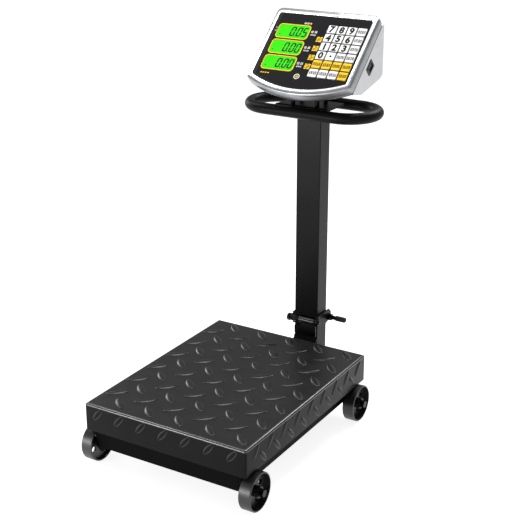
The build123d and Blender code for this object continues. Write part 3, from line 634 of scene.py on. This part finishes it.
display = {
    "u": -65 * mm, "low": 45 * mm, "pitch": 44.2 * mm, "width": 80 * mm, "height": 37 * mm,
    "corner": 7 * mm, "clearance": 0.3 * mm, "sunk": 0.1 * mm, "glass": 2.5 * mm,
    "outlines": ((1.9 * mm, 1.2 * mm, 1), (1.2 * mm, 0, 2)),  # from, to, ink
    "values": ("0.00", "0.00", "0.05"), "digit": 26 * mm, "digitStep": 14.2 * mm, "digitInset": 9.5 * mm,
    "pointSize": 2.8 * mm, "pointStep": 2.2 * mm, "pointShift": 7.2 * mm, "pointRise": 1.4 * mm,
    "statusSize": 2.4 * mm, "statusInset": 9 * mm, "statusDrop": 9.5 * mm,
}
segmentShapes = {"0": "abcdef", "5": "afgcd"}  # the segments that are lit in each digit of the values


def segmentDigit(letter, u, v, height, index, depth):
    # Seven hexagonal bars, each a short run with pointed ends, leaning a little to the right.
    width, thick, gap, lean = 0.47 * height, 0.13 * height, 0.035 * height, 0.10
    centres = {"a": (0, 1), "g": (0, 0), "d": (0, -1), "b": (1, 0.5), "c": (1, -0.5), "f": (-1, 0.5),
               "e": (-1, -0.5)}
    parts = []
    for name in segmentShapes[letter]:
        cx, cy = centres[name]
        run = (height if name in "bcef" else 2 * width) / 4 - gap
        along = np.array([-run, -run + thick / 2, run - thick / 2, run, run - thick / 2, -run + thick / 2])
        across = np.array([0, -1, -1, 0, 1, 1]) * thick / 2
        x, y = (across, along) if name in "bcef" else (along, across)
        x = x + cx * (width - thick) / 2
        y = y + cy * (height - thick) / 2
        parts.append(flatPrint(np.stack([u + x + lean * y, v + y], axis=-1), depth, head["print"], index))
    return parts


def windowOutline(v, grow):
    # A display window's outline, made larger all round by the given amount.
    halfWidth, halfHeight = display["width"] / 2 + grow, display["height"] / 2 + grow
    return roundedRectangle(halfWidth, halfHeight, display["corner"] + grow) + np.array([display["u"], v])


def displayParts():
    # Green windows a little behind the film's face, their coloured outlines, digits, points and status dots.
    glassDepth, ink = head["panelDepth"] + display["sunk"], head["print"]
    left, right = display["u"] - display["width"] / 2, display["u"] + display["width"] / 2
    point, status = display["pointSize"], display["statusSize"]
    parts = []
    for n, text in enumerate(display["values"]):
        v = display["low"] + n * display["pitch"]
        window = windowOutline(v, -display["clearance"])
        parts.append(flatPrint(window, glassDepth + display["glass"], display["glass"], 0))
        for outside, inside, index in display["outlines"]:
            outer, inner = windowOutline(v, outside), windowOutline(v, inside)
            parts.append(ringPrint(outer, inner, head["panelDepth"], ink, index))
        u = right - display["digitInset"]
        for letter in reversed(text):
            if letter == ".":
                u -= display["pointStep"]
                foot = v - display["digit"] / 2 + display["pointRise"]
                dot = bar(u + display["pointShift"], foot, point, point)
                parts.append(flatPrint(dot, glassDepth, ink, 3))
            else:
                parts += segmentDigit(letter, u, v, display["digit"], 3, glassDepth)
                u -= display["digitStep"]
        dot = bar(left + display["statusInset"], v - display["statusDrop"], status, status)
        parts.append(flatPrint(dot, glassDepth, ink, 3))
    return parts


# Places on the panel: u to the right of the middle, v up from the head's straight lower line. Gaps are from
# the windows' right side.
panel = {
    # The recessShadow entries place the black band that paints the rim's shadow on the panel, shifted to fall
    # wider on the left.
    "recessShadowSide": 5.2 * mm, "recessShadowLow": 1.5 * mm, "recessShadowHigh": 2 * mm, "recessShadowSag": 0.5 * mm,
    "recessShadowTopRadius": 6 * mm, "recessShadowLowRadius": 4 * mm, "recessShadowShift": 3.4 * mm,
    "unitGap": 8.5 * mm, "unitSize": 6 * mm, "unitPitch": 9 * mm, "unitRise": 4 * mm,
    "noteSize": 3.6 * mm, "notePitch": 4.6 * mm, "noteDrop": 4.5 * mm,
    "rowGap": 33.5 * mm, "rowTop": 118.5 * mm, "rowPitch": 25 * mm, "rowSize": 14 * mm, "rowWeight": 0.17,
    "lampU": -28.6 * mm, "lampV": 159 * mm, "lampRadius": 2.2 * mm, "lampHeight": 0.5 * mm,
    "lampMarkU": -43 * mm, "lampMarkPitch": 7 * mm, "lampMarkSize": 5 * mm,
    "edgeMarkU": -111 * mm, "edgeMarkV": 140 * mm, "edgeMarkPitch": 8 * mm, "edgeMarkSize": 4.5 * mm,
    "dashU": -98 * mm, "dashV": 15 * mm, "dashPitch": 6 * mm, "dashSize": (4.2 * mm, 2.2 * mm, 0.2),
    "ringU": -6 * mm, "ringV": 14 * mm, "rings": ((7 * mm, 1), (3 * mm, 2)), "ringBand": 1.6 * mm,
}


def panelPrintParts():
    # A black band round the panel's edge, wider on the left: painted shadow of the rim's recess. Then plain
    # marks beside the windows and along the middle.
    depth, ink = head["panelDepth"], head["print"]
    inner = headOutline(head["panelHalfWidth"] - panel["recessShadowSide"], head["panelLow"] + panel["recessShadowLow"],
                        head["panelHigh"] - panel["recessShadowHigh"], head["panelSag"] - panel["recessShadowSag"],
                        panel["recessShadowTopRadius"], panel["recessShadowLowRadius"], shift=panel["recessShadowShift"])
    parts = [ringPrint(rimInner, inner, depth, ink, 0)]
    windowRight = display["u"] + display["width"] / 2
    for n in range(len(display["values"])):
        u, v = windowRight + panel["unitGap"], display["low"] + n * display["pitch"]
        for k in range(2):
            parts += genericMark(u + k * panel["unitPitch"], v + panel["unitRise"], panel["unitSize"],
                                 10 + 10 * k + n, 1, depth)
        for k in range(3):
            parts += genericMark(u + k * panel["notePitch"], v - panel["noteDrop"], panel["noteSize"],
                                 50 + 3 * n + k, 1, depth)
    for n in range(4):
        parts += genericMark(windowRight + panel["rowGap"], panel["rowTop"] - n * panel["rowPitch"],
                             panel["rowSize"], 30 + n, 2, depth, panel["rowWeight"])
    for n in range(2):
        parts += genericMark(panel["lampMarkU"] + n * panel["lampMarkPitch"], panel["lampV"],
                             panel["lampMarkSize"], 40 + n, 1, depth)
        parts += genericMark(panel["edgeMarkU"], panel["edgeMarkV"] - n * panel["edgeMarkPitch"],
                             panel["edgeMarkSize"], 44 + n, 1, depth)
    lamp = disc(panel["lampU"], panel["lampV"], panel["lampRadius"])
    parts.append(flatPrint(lamp, depth, panel["lampHeight"], 2))
    for n in range(4):
        dash = bar(panel["dashU"] + n * panel["dashPitch"], panel["dashV"], *panel["dashSize"])
        parts.append(flatPrint(dash, depth, ink, 2))
    for radius, index in panel["rings"]:
        outer, hole = [disc(panel["ringU"], panel["ringV"], r, 0.05 * mm, perCorner=8)
                       for r in (radius, radius - panel["ringBand"])]
        parts.append(ringPrint(outer, hole, depth, ink, index))
    return parts


makePiece("displayWindows", displayParts(), [displayGreen, orangeInk, yellowInk, blackInk], "mast",
          ["lcd_modules"])
makePiece("panelPrint", panelPrintParts(), [blackInk, whiteInk, yellowInk], "mast")
print("display made")


key = {
    "halfWidth": 11.4 * mm, "halfHeight": 11.2 * mm, "corner": 1.4 * mm, "leastCorner": 0.4 * mm,
    "top": 0.2 * mm,
    # How far each ring stands outside the cap and how deep it lies, in millimetres, from the flange up.
    "profile": ((0.5, 3.8), (0.5, 3.05), (0.0, 3.0), (0.0, 0.9), (-0.15, 0.5), (-0.5, 0.25), (-1.1, 0.2),
                (-4.0, 0.22), (-8.0, 0.25)),
    "border": (0.1 * mm, 0.85 * mm), "borderDepth": 0.75 * mm, "printDepth": 0.25 * mm,
    "digit": 16.5 * mm, "capHeight": 0.72, "boldness": 0.054, "point": 2.8 * mm,
    "mark": 8.6 * mm, "markShift": 4.8 * mm, "markWeight": 0.20,
}
yellowKeys = ("key_memory_1", "key_memory_2", "key_memory_3", "key_memory_4", "key_total")
keyTexts = {f"key_{n}": str(n) for n in range(10)}


def textOutline(text, size):
    # The built-in font as a flat mesh: its corners and faces, centred on the origin.
    curve = bpy.data.curves.new("digit", "FONT")
    curve.body = text
    curve.size = size
    curve.offset = key["boldness"] * size
    curve.resolution_u = 4
    holder = bpy.data.objects.new("digit", curve)
    bpy.context.scene.collection.objects.link(holder)
    bpy.context.view_layer.update()
    mesh = bpy.data.meshes.new_from_object(holder)
    points = np.array([vertex.co[:2] for vertex in mesh.vertices])
    faces = [list(polygon.vertices) for polygon in mesh.polygons]
    edges = {}
    for face in faces:
        for a, b in zip(face, face[1:] + face[:1]):
            edges[(a, b)] = edges.get((a, b), 0) + 1
    rim = [(a, b) for a, b in edges if (b, a) not in edges]
    bpy.data.objects.remove(holder)
    bpy.data.curves.remove(curve)
    bpy.data.meshes.remove(mesh)
    points -= (points.min(0) + points.max(0)) / 2
    return points, faces, rim


def textPrint(text, u, v, size, depth, index):
    # The flat digit twice, front and back of the ink, with a wall along every free edge.
    points, faces, rim = textOutline(text, size)
    points = points + np.array([u, v])
    count = len(points)
    front, back = [onFace(*points.T, np.array(d)) for d in (depth - head["print"], depth)]
    sides = [[a, b, b + count, a + count] for a, b in rim]
    reverse = [[i + count for i in face[::-1]] for face in faces]
    return np.concatenate([front, back]), faces + reverse + sides, index


def keyCapParts(u, v):
    # Rings of a rounded rectangle from the flange up: straight skirt, rolled edge, slightly sunk middle.
    rings = []
    for grow, depth in key["profile"]:
        corner = max(key["corner"] + grow * mm, key["leastCorner"])
        outline = roundedRectangle(key["halfWidth"] + grow * mm, key["halfHeight"] + grow * mm, corner)
        rings.append(onFace(*(outline + np.array([u, v])).T, np.array(depth * mm)))
    return (*tubeParts(np.array(rings)), 0)


keyNames = [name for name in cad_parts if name.startswith("key_")]
for number, name in enumerate(sorted(keyNames)):
    low, high = nodeBox(name)
    centre = (low + high) / 2 - faceOrigin
    u, v = float(centre @ faceRight), float(centre @ faceUp)
    parts = [keyCapParts(u, v)]
    face = key["printDepth"]
    border = [roundedRectangle(key["halfWidth"] - inset, key["halfHeight"] - inset, key["corner"])
              + np.array([u, v]) for inset in key["border"]]
    parts.append(ringPrint(*border, key["borderDepth"], key["borderDepth"] - key["top"] + head["print"], 1))
    if name == "key_point":
        parts.append(flatPrint(disc(u, v, key["point"]), face, head["print"], 1))
    elif name in keyTexts:
        parts.append(textPrint(keyTexts[name], u, v, key["digit"] / key["capHeight"], face, 1))
    else:
        for side in (-1, 1):
            parts += genericMark(u + side * key["markShift"], v, key["mark"], 100 + 2 * number + side, 1,
                                 face, key["markWeight"])
    film, slot = (keyYellow, "key_yellow") if name in yellowKeys else (keyWhite, "key_white")
    makePiece(name.replace("key_", "cap."), parts, [film, blackInk], name, [name], sharpAngle=40)
print("keys made")


nodeFinishes = {
    # The frame parts under the deck take the coat painted darker as shade.
    "base_rails": underDeckShadeCoat, "centre_beam": underDeckShadeCoat, "axle_brackets": underDeckShadeCoat, "tail_bracket": underDeckShadeCoat,
    "deck_frame": underDeckShadeCoat, "lower_post": powderCoat, "post_gusset": powderCoat, "clamp_tongue": powderCoat,
    "mast_tube": powderCoat, "mast_collar": powderCoat, "head_posts": powderCoat, "head_foot": powderCoat,
    "handle_plate": railCoat, "lower_hinge_leaf": rubbedCoat, "overload_stops": zincPlate,
    "load_cell_spacers": zincPlate, "load_cell_screws": zincPlate, "load_cell": milledAluminium,
    "axle_bolts": blackOxide, "hinge_pin": blackOxide, "clamp_screw": blackOxide, "clamp_grip": gripVinyl,
    "wheel_front_left": wheelNylon, "wheel_front_right": wheelNylon, "wheel_rear_left": wheelNylon,
    "wheel_rear_right": wheelNylon, "rear_shell": cloudyChrome, "fascia_panel": panelFilm,
    "circuit_boards": solderMask, "battery": mouldedAbs, "switch_bezel": mouldedAbs,
    "power_rocker": mouldedAbs,
}
# Rolled edges, in millimetres, on the nodes whose bent sheet or moulding shows them.
rolledEdges = {
    "mast_tube": 0.8, "mast_collar": 0.9, "lower_post": 0.8, "post_gusset": 0.8, "handle_plate": 0.7,
    "head_foot": 0.6, "rear_shell": 2.2, "base_rails": 1.2, "axle_brackets": 0.6, "clamp_tongue": 0.6,
    "switch_bezel": 0.4,
}
sharpFrom = 40  # degrees between two faces, past which their edge is rolled
for name, finish in nodeFinishes.items():
    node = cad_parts[name]
    for slot in node.material_slots:
        slot.material = finish
    if name in rolledEdges:
        weld = node.modifiers.new("joinTriangles", "WELD")
        weld.merge_threshold = 0.01 * mm
        bevel = node.modifiers.new("rolledEdge", "BEVEL")
        bevel.width = rolledEdges[name] * mm
        bevel.segments = 3
        bevel.limit_method = "ANGLE"
        bevel.angle_limit = math.radians(sharpFrom)
        bevel.harden_normals = True
print("finishes set")


stage = {
    "floorReach": 30, "floorColour": "#BBBBBB", "floorGlow": 0.84, "floorRoughness": 0.8, "skyStrength": 0.40,
}


def makeStage():
    # One broad pale floor under an even white sky.
    mesh = bpy.data.meshes.new("floor")
    reach = stage["floorReach"]
    mesh.from_pydata([(-reach, -reach, 0), (reach, -reach, 0), (reach, reach, 0), (-reach, reach, 0)], [],
                     [[0, 1, 2, 3]])
    floor = bpy.data.objects.new("floor", mesh)
    material, tree, shader, place = newMaterial("paleStudioFloor")
    shader.inputs["Base Color"].default_value = linearColour(stage["floorColour"])
    shader.inputs["Roughness"].default_value = stage["floorRoughness"]
    shader.inputs["Specular IOR Level"].default_value = 0.0
    shader.inputs["Emission Color"].default_value = linearColour("#FFFFFF")
    shader.inputs["Emission Strength"].default_value = stage["floorGlow"]
    mesh.materials.append(material)
    bpy.context.scene.collection.objects.link(floor)
    sky = bpy.data.worlds.new("studio")
    sky.use_nodes = True
    sky.node_tree.nodes["Background"].inputs[0].default_value = linearColour("#FFFFFF")
    sky.node_tree.nodes["Background"].inputs[1].default_value = stage["skyStrength"]
    bpy.context.scene.world = sky


def aimAngles(direction):
    # Euler angles that point an object's -Z along the direction, with its Y as near up as it can be.
    x, y, z = direction / np.linalg.norm(direction)
    pitch = math.acos(max(-1.0, min(1.0, -z)))
    yaw = math.atan2(-x, y)
    return (pitch, 0, yaw)


def addLight(name, light):
    data = bpy.data.lights.new(name, "AREA")
    data.shape = "RECTANGLE"
    data.size, data.size_y = light["size"]
    data.energy = light["power"]
    lamp = bpy.data.objects.new(name, data)
    lamp.location = light["place"]
    lamp.rotation_euler = aimAngles(np.array(light["target"]) - np.array(light["place"]))
    bpy.context.scene.collection.objects.link(lamp)


# Softboxes: metres, and watts. The wheel box stands low, so that the deck doesn't mirror it from behind.
lights = {
    "leftSoftbox": {"place": (-1.50, -0.05, 2.30), "target": (0, -0.3, 0.15), "size": (0.55, 0.9),
                    "power": 18},
    "headSoftbox": {"place": (-0.85, -0.02, 2.40), "target": (0, 0.2, 0.8), "size": (0.7, 0.8),
                    "power": 1.9},
    "overheadSoftbox": {"place": (-0.15, 0.50, 2.50), "target": (0, 0, 0.1), "size": (1.0, 1.0),
                        "power": 26},
    "backSoftbox": {"place": (0.25, 1.80, 2.00), "target": (0.1, 0, 0.1), "size": (0.8, 0.8),
                    "power": 26},
    "sideSoftbox": {"place": (-2.20, 0.90, 1.05), "target": (0, 0, 0.1), "size": (0.9, 0.7),
                    "power": 11},
    "wheelSoftbox": {"place": (-1.05, -2.30, 0.42), "target": (0, -0.2, 0.1), "size": (1.4, 0.5),
                     "power": 36},
}
view = {"lens": 82.87, "sensor": 36, "place": (1.2826, -2.0910, 1.3124), "target": (0.075, -0.090, 0.439)}

makeStage()
for name, light in lights.items():
    addLight(name, light)
camera = bpy.data.cameras.new("camera")
camera.lens = view["lens"]
camera.sensor_width = view["sensor"]
cameraObject = bpy.data.objects.new("camera", camera)
cameraObject.location = view["place"]
cameraObject.rotation_euler = aimAngles(np.array(view["target"]) - np.array(view["place"]))
bpy.context.scene.collection.objects.link(cameraObject)
bpy.context.scene.camera = cameraObject
bpy.context.scene.view_settings.view_transform = "Standard"
print("stage set")
